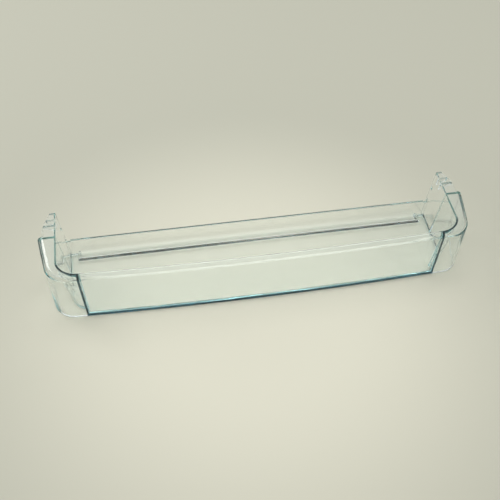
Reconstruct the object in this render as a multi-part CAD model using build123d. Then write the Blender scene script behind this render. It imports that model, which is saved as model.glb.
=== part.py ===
from build123d import *
import os

os.makedirs("parts", exist_ok=True)

# Door shelf of a refrigerator, one clear moulding. Millimetres, front towards -Y, underside at Z = 0.

# Overall sizes
length = 470.0
depth = 99.0
height = 65.0

# Outer shell: bowed front, rounded end wings, a roof rolled inwards at the top
shell_wall = 2.8
roof = 2.6
shell_rounding = 6.5
front_bow = 4.6
front_inset = 31.0
wing_radius = 25.0
wing_turn = 76.0

# Tray within the shell, its walls leaning outwards and its plates set in a little towards the front
tray_wall = 1.8
shoulder_width = 18.6
plate_toe_in = 2.6
flange_width = 5.6
tray_corner_radius = 22.0
tray_draft = 5.6
floor_thickness = 3.0

# Stretch of the front where the shell itself closes the tray
bay_inset = 42.8
bay_draft = 1.4

# Rounding of the tray's inner corners
inner_rounding = 2.4

# Back wall on a raised ledge, leaning a little to the rear
back_wall_height = 24.0
back_wall_setback = 5.6
back_wall_lean = 2.0
back_wall = 2.6
ledge_depth = 10.0
ledge_step = 4.0
ledge_inset = 15.5

# Ears behind the shoulders, with gussets under a slanted web
ear_length = 33.2
ear_web = 2.6
ear_rear_width = 4.0
gusset_wall = 1.6
gusset_height = 12.0
gusset_setbacks = (0.0, 9.6, 17.6)

# Notches in the rear edge of each ear
notch_depth = 5.0
notch_height = 3.5
notch_levels = (22.0, 41.0)

# Lines that follow from these sizes
front_y = -depth / 2
rear_y = depth / 2
shoulder_y = rear_y - ear_length
back_top_y = rear_y - back_wall_setback
back_foot_y = back_top_y - back_wall_lean
front_x = length / 2 - front_inset
bow_radius = (front_x**2 + front_bow**2) / (2 * front_bow)
bow_centre_y = front_y + bow_radius
bay_x = length / 2 - bay_inset
ledge_x = length / 2 - shoulder_width - ledge_inset
over = 10.0
beyond = rear_y + depth
draft_slope = tray_draft / (height - floor_thickness)
bay_slope = bay_draft / (height - floor_thickness)


def both_sides(shape):
    return shape + mirror(shape, Plane.YZ)


def plate_x(y, z):
    toe_in = plate_toe_in * (rear_y - y) / depth
    return length / 2 - shoulder_width - toe_in - draft_slope * (height - z)


def tray_face(z, wall):
    # Inside of the tray at one level, or its outside where a wall is given
    radius = bow_radius - flange_width - draft_slope * (height - z) + wall
    corner_x = plate_x(front_y, z) + wall
    corner_y = bow_centre_y - (radius**2 - corner_x**2) ** 0.5
    rear_x = plate_x(beyond, z) + wall
    front = ThreePointArc((-corner_x, corner_y), (0, bow_centre_y - radius), (corner_x, corner_y))
    sides = Polyline((corner_x, corner_y), (rear_x, beyond), (-rear_x, beyond), (-corner_x, corner_y))
    face = make_face([front, sides])
    face = fillet(face.vertices().group_by(Axis.Y)[0], tray_corner_radius + wall)
    return Pos(0, 0, z) * face


def tray_form(low, high, wall):
    return loft([tray_face(low, wall).face(), tray_face(high, wall).face()], ruled=True)


def back_space(setback):
    # Everything behind a slanting plane that stands off the back wall's inner face
    slope = back_wall_lean / (back_wall_height - floor_thickness)
    foot = back_foot_y + setback - slope * floor_thickness
    low_y = foot - slope * over
    high_y = foot + slope * (height + over)
    top = height + over
    side = Polygon((low_y, -over), (beyond, -over), (beyond, top), (high_y, top), align=None)
    return extrude(Plane.YZ * side, length, both=True)


def bay_form(low, high, wall):
    # Stretch of the tray that reaches to the front of the shell
    low_x = bay_x - bay_slope * (height - low) + wall
    high_x = bay_x - bay_slope * (height - high) + wall
    side = Polygon((-low_x, low), (low_x, low), (high_x, high), (-high_x, high), align=None)
    return extrude(Plane.XZ.offset(-front_y) * side, -depth / 2)


# Plan of the shell up to the shoulders
front_point = (front_x, front_y + front_bow)
front_arc = ThreePointArc(
    (0, front_y),
    (front_x / 2, bow_centre_y - (bow_radius**2 - front_x**2 / 4) ** 0.5),
    front_point,
)
corner_arc = JernArc(front_arc @ 1, front_arc % 1, wing_radius, wing_turn)
side_arc = TangentArc(corner_arc @ 1, (length / 2, shoulder_y), tangent=corner_arc % 1)
shoulder_line = Line(side_arc @ 1, (0, shoulder_y))
middle_line = Line(shoulder_line @ 1, front_arc @ 0)
shell_plan = both_sides(make_face([front_arc, corner_arc, side_arc, shoulder_line, middle_line]))

# Shell, its top edge rolled over, hollow from below
block = extrude(shell_plan, height)
top_edges = block.edges().group_by(Axis.Z)[-1]
rolled_edges = top_edges.filter_by(lambda edge: edge.center().Y < shoulder_y - 1.0)
block = fillet(rolled_edges, shell_rounding)
hollow = extrude(offset(shell_plan, -shell_wall), height - roof)
top_edges = hollow.edges().group_by(Axis.Z)[-1]
rolled_edges = top_edges.filter_by(lambda edge: edge.center().Y < shoulder_y - shell_wall - 1.0)
hollow = fillet(rolled_edges, shell_rounding - shell_wall)
shell = block - hollow

# Tray, solid at first
rear_space = Pos(0, 0, height / 2) * Box(length, depth, height)
tray = tray_form(0.0, height, tray_wall) & rear_space
bay = bay_form(0.0, height, tray_wall) & block
body = shell + tray + bay

# Ears
ear_x = plate_x(rear_y, height)
ear_plan = Polygon(
    (ear_x, shoulder_y),
    (length / 2, shoulder_y),
    (ear_x + tray_wall + ear_rear_width, rear_y),
    (ear_x, rear_y),
    align=None,
)
bevelled_bar = Pos(0, 0, height / 2) * Box(length, 4 * depth, height)
bevelled_bar = chamfer(bevelled_bar.edges().filter_by(Axis.Y).group_by(Axis.Z)[-1], 1.1 * shell_rounding)
ear_space = extrude(ear_plan, height) & bevelled_bar
ear = Pos(0, 0, height - ear_web) * extrude(ear_plan, ear_web) & ear_space
gusset_x = plate_x(rear_y, height - gusset_height)
gusset_side = Plane.XZ * Polygon(
    (gusset_x, height),
    (length / 2, height),
    (length / 2, height - ear_web),
    (gusset_x, height - gusset_height),
    align=None,
)
for setback in gusset_setbacks:
    gusset = Pos(0, rear_y - setback, 0) * extrude(gusset_side, gusset_wall)
    ear += gusset & ear_space
body += both_sides(ear)

# Inside of the tray, with the ledge left standing and the corners at its foot rounded
inside = tray_form(floor_thickness, height + over, 0.0)
over_back = Pos(0, 0, back_wall_height + height) * Box(length, 4 * depth, 2 * height)
ledge_top = floor_thickness + ledge_step
ledge_front_y = back_foot_y - ledge_depth
ledge = Pos(0, (ledge_front_y + rear_y) / 2, ledge_top / 2) * Box(
    2 * ledge_x, rear_y - ledge_front_y, ledge_top
)
inside_tray = inside - back_space(0.0) - ledge
foot_edges = inside_tray.edges().group_by(Axis.Z)[0]
inside_tray = fillet(foot_edges, inner_rounding)
inside_bay = bay_form(floor_thickness, height, 0.0) & hollow
bay_edges = inside_bay.edges().filter_by(lambda edge: edge.center().Y < front_y + flange_width + front_bow)
bay_edges = bay_edges.filter_by(lambda edge: edge.center().Z < height - roof - shell_rounding)
inside_bay = fillet(bay_edges, inner_rounding)
body = body - (inside_tray + inside_bay + (inside & over_back))

# Space behind the back wall and under the ledge
body -= tray_form(-over, height + over, 0.0) & back_space(back_wall)
under_front_y = ledge_front_y + tray_wall
under_ledge = Pos(0, (under_front_y + beyond) / 2, ledge_step / 2 - over) * Box(
    2 * (ledge_x - tray_wall), beyond - under_front_y, ledge_step + 2 * over
)
body -= under_ledge

# Notches
notch = Box(6 * tray_wall, 2 * notch_depth, notch_height)
for level in notch_levels:
    middle = level + notch_height / 2
    body -= both_sides(Pos(plate_x(rear_y, middle), rear_y, middle) * notch)

door_shelf = body
export_step(door_shelf, "parts/door_shelf.step")
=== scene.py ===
import bpy
import bmesh
import numpy as np
from mathutils import Matrix, Vector


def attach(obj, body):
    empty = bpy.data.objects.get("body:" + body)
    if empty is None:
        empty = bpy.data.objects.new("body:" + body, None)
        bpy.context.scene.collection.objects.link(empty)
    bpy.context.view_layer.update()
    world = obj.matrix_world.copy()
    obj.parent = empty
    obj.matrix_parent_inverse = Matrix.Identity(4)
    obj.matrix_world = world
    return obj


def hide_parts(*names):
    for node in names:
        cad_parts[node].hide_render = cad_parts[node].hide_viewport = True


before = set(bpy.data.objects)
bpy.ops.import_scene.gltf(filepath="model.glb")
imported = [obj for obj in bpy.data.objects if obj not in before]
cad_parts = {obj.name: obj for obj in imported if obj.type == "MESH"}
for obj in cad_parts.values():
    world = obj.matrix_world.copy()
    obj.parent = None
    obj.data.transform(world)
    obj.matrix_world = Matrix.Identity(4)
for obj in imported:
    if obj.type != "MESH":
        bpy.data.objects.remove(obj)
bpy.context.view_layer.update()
scene = bpy.context.scene
scene.view_settings.view_transform = "Standard"
print("frame loaded:", sorted(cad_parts))

# light has to run through several clear walls before it dies out, and stay sharp on the way
lightPaths = {
    "max_bounces": 128,
    "transmission_bounces": 128,
    "glossy_bounces": 128,
    "blur_glossy": 0.0,
}
for name, value in lightPaths.items():
    setattr(scene.cycles, name, value)


def setSockets(node, values):
    # every constant goes straight onto the node's own socket
    for name, value in values.items():
        node.inputs[name].default_value = value


# camera, solved from mirrored pairs of points on the shelf
cameraPlan = {
    "place": (-0.0977, -0.5051, 0.6136),
    "right": (0.98698, -0.16056, 0.01024),
    "up": (0.11456, 0.74590, 0.65610),
    "lens": 50.34,
    "sensor": 36.0,
    "nearest": 0.02,
}


def makeCamera(plan):
    data = bpy.data.cameras.new("camera")
    data.lens = plan["lens"]
    data.sensor_width = plan["sensor"]
    data.clip_start = plan["nearest"]
    camera = bpy.data.objects.new("camera", data)
    scene.collection.objects.link(camera)
    right = Vector(plan["right"]).normalized()
    back = right.cross(Vector(plan["up"])).normalized()
    up = back.cross(right)
    turn = Matrix((right, up, back)).transposed().to_4x4()
    camera.matrix_world = Matrix.Translation(plan["place"]) @ turn
    scene.camera = camera


makeCamera(cameraPlan)
print("camera placed")

# places of the colour sockets on a Mix node
mixSockets = {"factor": 0, "first": 6, "second": 7, "result": 2}


def mathNode(tree, operation, *values):
    node = tree.nodes.new("ShaderNodeMath")
    node.operation = operation
    for socket, value in zip(node.inputs, values):
        if isinstance(value, (int, float)):
            socket.default_value = value
        else:
            tree.links.new(value, socket)
    return node.outputs[0]


def timesNode(tree, *values):
    result = values[0]
    for value in values[1:]:
        result = mathNode(tree, "MULTIPLY", result, value)
    return result


def rampNode(tree, value, low, high, lowValue=0.0, highValue=1.0):
    node = tree.nodes.new("ShaderNodeMapRange")
    node.interpolation_type = "SMOOTHSTEP"
    setSockets(node, {"From Min": low, "From Max": high, "To Min": lowValue, "To Max": highValue})
    tree.links.new(value, node.inputs["Value"])
    return node.outputs["Result"]


def bandNode(tree, value, limit, soft, strength=1.0):
    # full strength below the limit, nought above it
    return rampNode(tree, value, limit - soft, limit + soft, strength, 0.0)


def mixNode(tree, factor, first, second):
    node = tree.nodes.new("ShaderNodeMix")
    node.data_type = "RGBA"
    tree.links.new(factor, node.inputs[mixSockets["factor"]])
    for name, value in (("first", first), ("second", second)):
        socket = node.inputs[mixSockets[name]]
        if isinstance(value, tuple):
            socket.default_value = value
        else:
            tree.links.new(value, socket)
    return node.outputs[mixSockets["result"]]


# the shelf's front is an arc seen from above: its middle and its radius, in metres like all places here
frontLine = {"y": -0.0495, "bowRadius": 4.5}
# the bay's ends and its foot, where painted shade draws dark lines on the front
bayPlan = {
    "x": 0.1930, "top": 0.065, "lean": 0.0226, "half": 0.0012, "soft": 0.0003,
    "back": -0.0428, "rimBack": -0.0388, "rimZ": (0.057, 0.059),
    "footTop": 0.0038, "footSkin": 0.0006,
}


def bayShadeMask(tree, x, y, z, plan):
    # one over the bay's ends and along its foot, nought elsewhere: where the painted shade goes
    side = mathNode(tree, "ABSOLUTE", x)
    drop = mathNode(tree, "SUBTRACT", plan["top"], z)
    endX = mathNode(tree, "MULTIPLY_ADD", drop, -plan["lean"], plan["x"])
    off = mathNode(tree, "ABSOLUTE", mathNode(tree, "SUBTRACT", side, endX))
    backLimit = rampNode(tree, z, *plan["rimZ"], plan["back"], plan["rimBack"])
    ends = timesNode(
        tree,
        bandNode(tree, off, plan["half"], plan["soft"]),
        mathNode(tree, "LESS_THAN", y, backLimit),
    )
    bow = timesNode(tree, x, x, 0.5 / frontLine["bowRadius"])
    depth = mathNode(tree, "SUBTRACT", mathNode(tree, "SUBTRACT", y, bow), frontLine["y"])
    foot = timesNode(
        tree,
        bandNode(tree, z, plan["footTop"], plan["soft"]),
        mathNode(tree, "LESS_THAN", depth, plan["footSkin"]),
        mathNode(tree, "LESS_THAN", side, endX),
    )
    return mathNode(tree, "MAXIMUM", ends, foot)


# the tray's front corners, where painted shade draws dark arcs on the shelf's top
cornerPlan = {
    "x": 0.1926, "y": -0.0178, "radius": 0.0229, "half": 0.0010, "soft": 0.0003,
    "fade": (-0.027, -0.017), "fromZ": 0.0635,
}


def cornerShadeMask(tree, x, y, z, plan):
    # one on the arc over the tray's corner, fading out towards the rear: where the painted shade goes
    acrossX = mathNode(tree, "SUBTRACT", mathNode(tree, "ABSOLUTE", x), plan["x"])
    acrossY = mathNode(tree, "SUBTRACT", y, plan["y"])
    squares = mathNode(
        tree, "ADD", timesNode(tree, acrossX, acrossX), timesNode(tree, acrossY, acrossY)
    )
    fromArc = mathNode(tree, "SUBTRACT", mathNode(tree, "SQRT", squares), plan["radius"])
    return timesNode(
        tree,
        bandNode(tree, mathNode(tree, "ABSOLUTE", fromArc), plan["half"], plan["soft"]),
        rampNode(tree, y, *plan["fade"], 1.0, 0.0),
        mathNode(tree, "GREATER_THAN", acrossX, 0.0),
        mathNode(tree, "GREATER_THAN", z, plan["fromZ"]),
    )


# painted shade on the outer half of the wings' rolled edge: the side of the wing is a slanted line seen
# from above
wingShadePlan = {
    "rearX": 0.2350, "rearY": 0.0160, "slant": 0.184, "within": 0.0040, "soft": 0.0005,
    "z": (0.0604, 0.0632), "y": (-0.034, -0.006),
    "tint": (0.030, 0.105, 0.140, 1.0),
}


def wingShadeMask(tree, x, y, z, plan):
    # one where the painted shade goes on the outer half of the roll, fading out where the wing turns to
    # the front
    soft = plan["soft"]
    low, high = plan["z"]
    fromRear = mathNode(tree, "SUBTRACT", plan["rearY"], y)
    sideX = mathNode(tree, "MULTIPLY_ADD", fromRear, -plan["slant"], plan["rearX"])
    inward = mathNode(tree, "SUBTRACT", sideX, mathNode(tree, "ABSOLUTE", x))
    return timesNode(
        tree,
        bandNode(tree, inward, plan["within"], soft),
        rampNode(tree, z, low - soft, low + soft),
        bandNode(tree, z, high, soft),
        rampNode(tree, y, *plan["y"]),
    )


# painted shade on the ears' top faces: middle of each gusset from front to rear, then how strongly the
# shade shows
ribShadePlan = {
    "fromX": 0.2168, "fromZ": 0.0600, "half": 0.0006, "soft": 0.0003,
    "ribs": ((0.0311, 0.85), (0.0391, 0.45), (0.0488, 0.75)),
    "tint": (0.075, 0.20, 0.235, 1.0),
}


def ribShadeMask(tree, x, y, z, plan):
    # a band of painted shade across the ear over each gusset
    mask = 0.0
    for middle, strength in plan["ribs"]:
        off = mathNode(tree, "ABSOLUTE", mathNode(tree, "SUBTRACT", y, middle))
        band = bandNode(tree, off, plan["half"], plan["soft"], strength)
        mask = mathNode(tree, "MAXIMUM", band, mask)
    return timesNode(
        tree,
        mask,
        mathNode(tree, "GREATER_THAN", mathNode(tree, "ABSOLUTE", x), plan["fromX"]),
        mathNode(tree, "GREATER_THAN", z, plan["fromZ"]),
    )


# painted shade on the foot of the ledge, dark in its corner and uneven along its length: place on the
# length, then how dark the shade is
ledgeShadePlan = {
    "endX": 0.2008, "y": (0.0306, 0.0323), "z": (0.0034, 0.0062),
    "along": ((0.0, 0.15), (0.14, 0.025), (0.38, 0.06), (0.56, 0.32), (0.70, 0.12), (1.0, 0.09)),
    "cast": (1.0, 0.78, 0.74),
}


def ledgeShadeMask(tree, x, y, z, plan):
    # one on the rounded foot and the riser of the ledge, where the painted shade goes
    mask = mathNode(tree, "LESS_THAN", mathNode(tree, "ABSOLUTE", x), plan["endX"])
    for value, (low, high) in ((y, plan["y"]), (z, plan["z"])):
        above = mathNode(tree, "GREATER_THAN", value, low)
        below = mathNode(tree, "LESS_THAN", value, high)
        mask = timesNode(tree, mask, above, below)
    return mask


def paintedLedgeShade(tree, x, plan):
    # painted shade along the ledge's foot, read at nought to one from the ledge's left end to its right
    # end
    middle = 0.5
    share = mathNode(tree, "MULTIPLY_ADD", x, middle / plan["endX"], middle)
    node = tree.nodes.new("ShaderNodeValToRGB")
    stops = node.color_ramp.elements
    while len(stops) < len(plan["along"]):
        stops.new(middle)
    for stop, (place, tint) in zip(stops, plan["along"]):
        stop.position = place
        stop.color = (*(tint * part for part in plan["cast"]), 1.0)
    tree.links.new(share, node.inputs["Fac"])
    return node.outputs["Color"]


# clear plastic: nearly colourless on the face, blue-green where light runs along a wall; the dark lines
# painted on it are painted shade
plasticPlan = {
    "tint": (0.992, 0.998, 0.996, 1.0),
    # painted shade: the near-black colour of the dark lines where walls meet
    "paintedJoinShade": (0.0007, 0.007, 0.013, 1.0),
    "ior": 1.58,
    "absorption": (0.30, 0.66, 0.68, 1.0),
    "density": 16.0,
    "roughness": (0.0, 0.03),
    "smearScale": 26.0,
    "smearDetail": 3.0,
    "smearRange": (0.5, 0.75),
}


def makePlastic(plan):
    material = bpy.data.materials.new("clearPlastic")
    material.use_nodes = True
    tree = material.node_tree
    tree.nodes.clear()
    output = tree.nodes.new("ShaderNodeOutputMaterial")
    shader = tree.nodes.new("ShaderNodeBsdfPrincipled")
    setSockets(shader, {"IOR": plan["ior"], "Transmission Weight": 1.0})
    inside = tree.nodes.new("ShaderNodeVolumeAbsorption")
    setSockets(inside, {"Color": plan["absorption"], "Density": plan["density"]})
    coords = tree.nodes.new("ShaderNodeTexCoord")
    split = tree.nodes.new("ShaderNodeSeparateXYZ")
    tree.links.new(coords.outputs["Object"], split.inputs["Vector"])
    place = tuple(split.outputs)
    # painted shade: dark lines at the bay's ends and foot and over the tray's corners
    joinShade = mathNode(
        tree, "MAXIMUM", bayShadeMask(tree, *place, bayPlan), cornerShadeMask(tree, *place, cornerPlan)
    )
    colour = mixNode(tree, joinShade, plan["tint"], plan["paintedJoinShade"])
    # painted shade: a dark blue-green band along the wings' rolled edge
    colour = mixNode(tree, wingShadeMask(tree, *place, wingShadePlan), colour, wingShadePlan["tint"])
    # painted shade: teal lines over the gussets on the ears
    colour = mixNode(tree, ribShadeMask(tree, *place, ribShadePlan), colour, ribShadePlan["tint"])
    # painted shade: the ledge's foot darkened unevenly along its length
    ledgeShadeColour = paintedLedgeShade(tree, split.outputs["X"], ledgeShadePlan)
    colour = mixNode(tree, ledgeShadeMask(tree, *place, ledgeShadePlan), colour, ledgeShadeColour)
    tree.links.new(colour, shader.inputs["Base Color"])
    smear = tree.nodes.new("ShaderNodeTexNoise")
    setSockets(smear, {"Scale": plan["smearScale"], "Detail": plan["smearDetail"]})
    tree.links.new(coords.outputs["Object"], smear.inputs["Vector"])
    rough = rampNode(tree, smear.outputs["Fac"], *plan["smearRange"], *plan["roughness"])
    tree.links.new(rough, shader.inputs["Roughness"])
    tree.links.new(shader.outputs["BSDF"], output.inputs["Surface"])
    tree.links.new(inside.outputs["Volume"], output.inputs["Volume"])
    return material


# the shelf itself: the solid's own faces, merged and smoothed round the rolled edges
shelfPlan = {
    "node": "door_shelf", "slot": "clear_plastic", "body": "root",
    "weld": 2e-6, "flatWeight": 100,
    "sharpAngle": 37.0, "earSharpAngle": 12.0, "earX": 0.2140, "earY": 0.0160,
}
# rolls along the bowed front: the rim outside and inside, then the rounded foot inside
rollPlan = {
    "near": 0.00003,
    "shortest": 1e-9,
    "rolls": (
        {"inset": 0.0065, "z": 0.0585, "radius": 0.0065, "out": 1.0, "up": 1.0, "endX": 0.1940},
        {"inset": 0.0065, "z": 0.0587, "radius": 0.0037, "out": -1.0, "up": 1.0, "endX": 0.1880},
        {"inset": 0.0052, "z": 0.0054, "radius": 0.0024, "out": -1.0, "up": -1.0, "endX": 0.1865},
    ),
}


def meshPoints(mesh):
    points = np.empty(len(mesh.vertices) * 3)
    mesh.vertices.foreach_get("co", points)
    return points.reshape(-1, 3)


def sharpEdges(mesh, plan):
    # an edge is sharp where its two triangles meet at more than the angle allowed there
    normals = np.empty(len(mesh.polygons) * 3)
    mesh.polygons.foreach_get("normal", normals)
    normals = normals.reshape(-1, 3)
    loopEdge = np.empty(len(mesh.loops), dtype=int)
    mesh.loops.foreach_get("edge_index", loopEdge)
    loopFace = np.repeat(np.arange(len(mesh.polygons)), 3)
    pairs = loopFace[np.argsort(loopEdge, kind="stable")].reshape(-1, 2)
    cosine = (normals[pairs[:, 0]] * normals[pairs[:, 1]]).sum(axis=1)
    bend = np.degrees(np.arccos(np.clip(cosine, -1, 1)))
    ends = np.empty(len(mesh.edges) * 2, dtype=int)
    mesh.edges.foreach_get("vertices", ends)
    middle = meshPoints(mesh)[ends.reshape(-1, 2)].mean(axis=1)
    onEar = (np.abs(middle[:, 0]) > plan["earX"]) & (middle[:, 1] > plan["earY"])
    return bend > np.where(onEar, plan["earSharpAngle"], plan["sharpAngle"])


def rollNormals(mesh, normals, plan):
    # long uneven triangles cover these rolls, so each corner takes the roll's true direction there
    points = meshPoints(mesh)
    corners = np.empty(len(mesh.loops), dtype=int)
    mesh.loops.foreach_get("vertex_index", corners)
    slope = points[:, 0] / frontLine["bowRadius"]
    fromFront = points[:, 1] - (frontLine["y"] + slope * points[:, 0] / 2)
    for roll in plan["rolls"]:
        acrossY = fromFront - roll["inset"]
        acrossZ = points[:, 2] - roll["z"]
        on = np.abs(np.hypot(acrossY, acrossZ) - roll["radius"]) < plan["near"]
        on &= np.abs(points[:, 0]) < roll["endX"]
        on &= (acrossY < plan["near"]) & (acrossZ * roll["up"] > -plan["near"])
        faceOn = np.repeat(on[corners].reshape(-1, 3).all(axis=1), 3)
        true = np.stack((-acrossY * slope, acrossY, acrossZ), axis=1)
        length = np.linalg.norm(true, axis=1, keepdims=True)
        true *= roll["out"] / np.maximum(length, plan["shortest"])
        normals[faceOn] = true[corners[faceOn]]
        print("roll corners", int(faceOn.sum()))
    return normals


def makeShelf(plan, material):
    work = bmesh.new()
    work.from_mesh(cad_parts[plan["node"]].data)
    bmesh.ops.remove_doubles(work, verts=work.verts, dist=plan["weld"])
    mesh = bpy.data.meshes.new("clearShelf")
    work.to_mesh(mesh)
    work.free()
    mesh.polygons.foreach_set("use_smooth", np.ones(len(mesh.polygons), dtype=bool))
    marks = mesh.attributes.new("sharp_edge", "BOOLEAN", "EDGE")
    marks.data.foreach_set("value", sharpEdges(mesh, plan))
    mesh.materials.clear()
    mesh.materials.append(material)
    shelf = bpy.data.objects.new("clearShelf", mesh)
    scene.collection.objects.link(shelf)
    # flat walls stay flat beside a rolled edge
    evenNormals = shelf.modifiers.new("evenNormals", "WEIGHTED_NORMAL")
    evenNormals.mode = "FACE_AREA"
    evenNormals.weight = plan["flatWeight"]
    evenNormals.keep_sharp = True
    evened = shelf.evaluated_get(bpy.context.evaluated_depsgraph_get())
    smooth = bpy.data.meshes.new_from_object(evened)
    normals = np.empty(len(smooth.loops) * 3)
    smooth.corner_normals.foreach_get("vector", normals)
    smooth.normals_split_custom_set(rollNormals(smooth, normals.reshape(-1, 3), rollPlan))
    shelf.modifiers.clear()
    shelf.data = smooth
    bpy.data.meshes.remove(mesh)
    smooth.name = "clearShelf"
    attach(shelf, plan["body"])
    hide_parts(plan["node"])
    print("shelf faces", len(smooth.polygons))


makeShelf(shelfPlan, makePlastic(plasticPlan))
print("clear plastic on the shelf")

# table top with a painted pool of light: it greys a little away from the shelf's middle, as painted
# shade
tablePlan = {
    "size": 12.0,
    "drop": 0.0004,
    "colour": (0.765, 0.742, 0.62, 1.0),
    "shade": (0.53, 0.525, 0.44, 1.0),
    "middle": (-0.02, -0.08, 0.0),
    "reach": (0.08, 0.37),
    "roughness": 0.7,
    "gloss": 0.2,
}


def makeTable(plan):
    half = plan["size"] / 2
    z = -plan["drop"]
    mesh = bpy.data.meshes.new("table")
    corners = [(-half, -half, z), (half, -half, z), (half, half, z), (-half, half, z)]
    mesh.from_pydata(corners, [], [(0, 1, 2, 3)])
    table = bpy.data.objects.new("table", mesh)
    scene.collection.objects.link(table)
    material = bpy.data.materials.new("tableTop")
    material.use_nodes = True
    tree = material.node_tree
    shader = tree.nodes["Principled BSDF"]
    setSockets(shader, {"Roughness": plan["roughness"], "Specular IOR Level": plan["gloss"]})
    coords = tree.nodes.new("ShaderNodeTexCoord")
    away = tree.nodes.new("ShaderNodeVectorMath")
    away.operation = "DISTANCE"
    away.inputs[1].default_value = plan["middle"]
    tree.links.new(coords.outputs["Object"], away.inputs[0])
    # painted pool of light: the colour fades to painted shade away from the middle
    fade = rampNode(tree, away.outputs["Value"], *plan["reach"])
    colour = mixNode(tree, fade, plan["colour"], plan["shade"])
    tree.links.new(colour, shader.inputs["Base Color"])
    mesh.materials.append(material)


# pale room, darker towards the right
skyPlan = {
    "top": (0.98, 1.0, 1.0, 1.0),
    "horizon": (0.62, 0.62, 0.56, 1.0),
    "low": 0.25,
    "high": 0.8,
    "strength": 0.94,
    "dimSide": (0.1, 0.65),
    "dim": 0.65,
}


def makeSky(plan):
    world = bpy.data.worlds.new("studio")
    world.use_nodes = True
    tree = world.node_tree
    coords = tree.nodes.new("ShaderNodeTexCoord")
    split = tree.nodes.new("ShaderNodeSeparateXYZ")
    ramp = tree.nodes.new("ShaderNodeValToRGB")
    stops = ((plan["low"], plan["horizon"]), (plan["high"], plan["top"]))
    for stop, (place, colour) in zip(ramp.color_ramp.elements, stops):
        stop.position = place
        stop.color = colour
    background = tree.nodes["Background"]
    tree.links.new(coords.outputs["Generated"], split.inputs["Vector"])
    tree.links.new(split.outputs["Z"], ramp.inputs["Fac"])
    strength = plan["strength"]
    dimmed = rampNode(tree, split.outputs["X"], *plan["dimSide"], strength, strength * plan["dim"])
    tree.links.new(dimmed, background.inputs["Strength"])
    tree.links.new(ramp.outputs["Color"], background.inputs["Color"])
    scene.world = world


# lamps, each full up to the edge given as a share of its width from its middle
lampPlan = (
    {
        "name": "softBox", "place": (0.25, 0.5, 1.5), "aim": (0.25, 0.0, 0.0),
        "size": (1.389, 0.711), "edge": 0.40, "power": 6.42,
    },
    {
        "name": "sideBox", "place": (-1.05, 0.9, 1.05), "aim": (0.0, 0.0, 0.0),
        "size": (0.722, 0.722), "edge": 0.40, "power": 5.56,
    },
)


def makeLamp(plan):
    data = bpy.data.lights.new(plan["name"], "AREA")
    data.shape = "RECTANGLE"
    data.size, data.size_y = plan["size"]
    data.energy = plan["power"]
    data.use_nodes = True
    tree = data.node_tree
    # the lamp fades towards its rim, so its mirror image has soft edges
    onLamp = tree.nodes.new("ShaderNodeNewGeometry")
    split = tree.nodes.new("ShaderNodeSeparateXYZ")
    tree.links.new(onLamp.outputs["Parametric"], split.inputs["Vector"])
    middle = rim = 0.5
    glow = 1.0
    for across in (split.outputs["X"], split.outputs["Y"]):
        off = mathNode(tree, "ABSOLUTE", mathNode(tree, "SUBTRACT", across, middle))
        glow = timesNode(tree, rampNode(tree, off, plan["edge"], rim, 1.0, 0.0), glow)
    tree.links.new(glow, tree.nodes["Emission"].inputs["Strength"])
    lamp = bpy.data.objects.new(plan["name"], data)
    scene.collection.objects.link(lamp)
    aim = Vector(plan["aim"]) - Vector(plan["place"])
    turn = aim.to_track_quat("-Z", "Y").to_matrix().to_4x4()
    lamp.matrix_world = Matrix.Translation(plan["place"]) @ turn
    lamp.visible_camera = False


makeTable(tablePlan)
makeSky(skyPlan)
for plan in lampPlan:
    makeLamp(plan)
print("table and light placed")
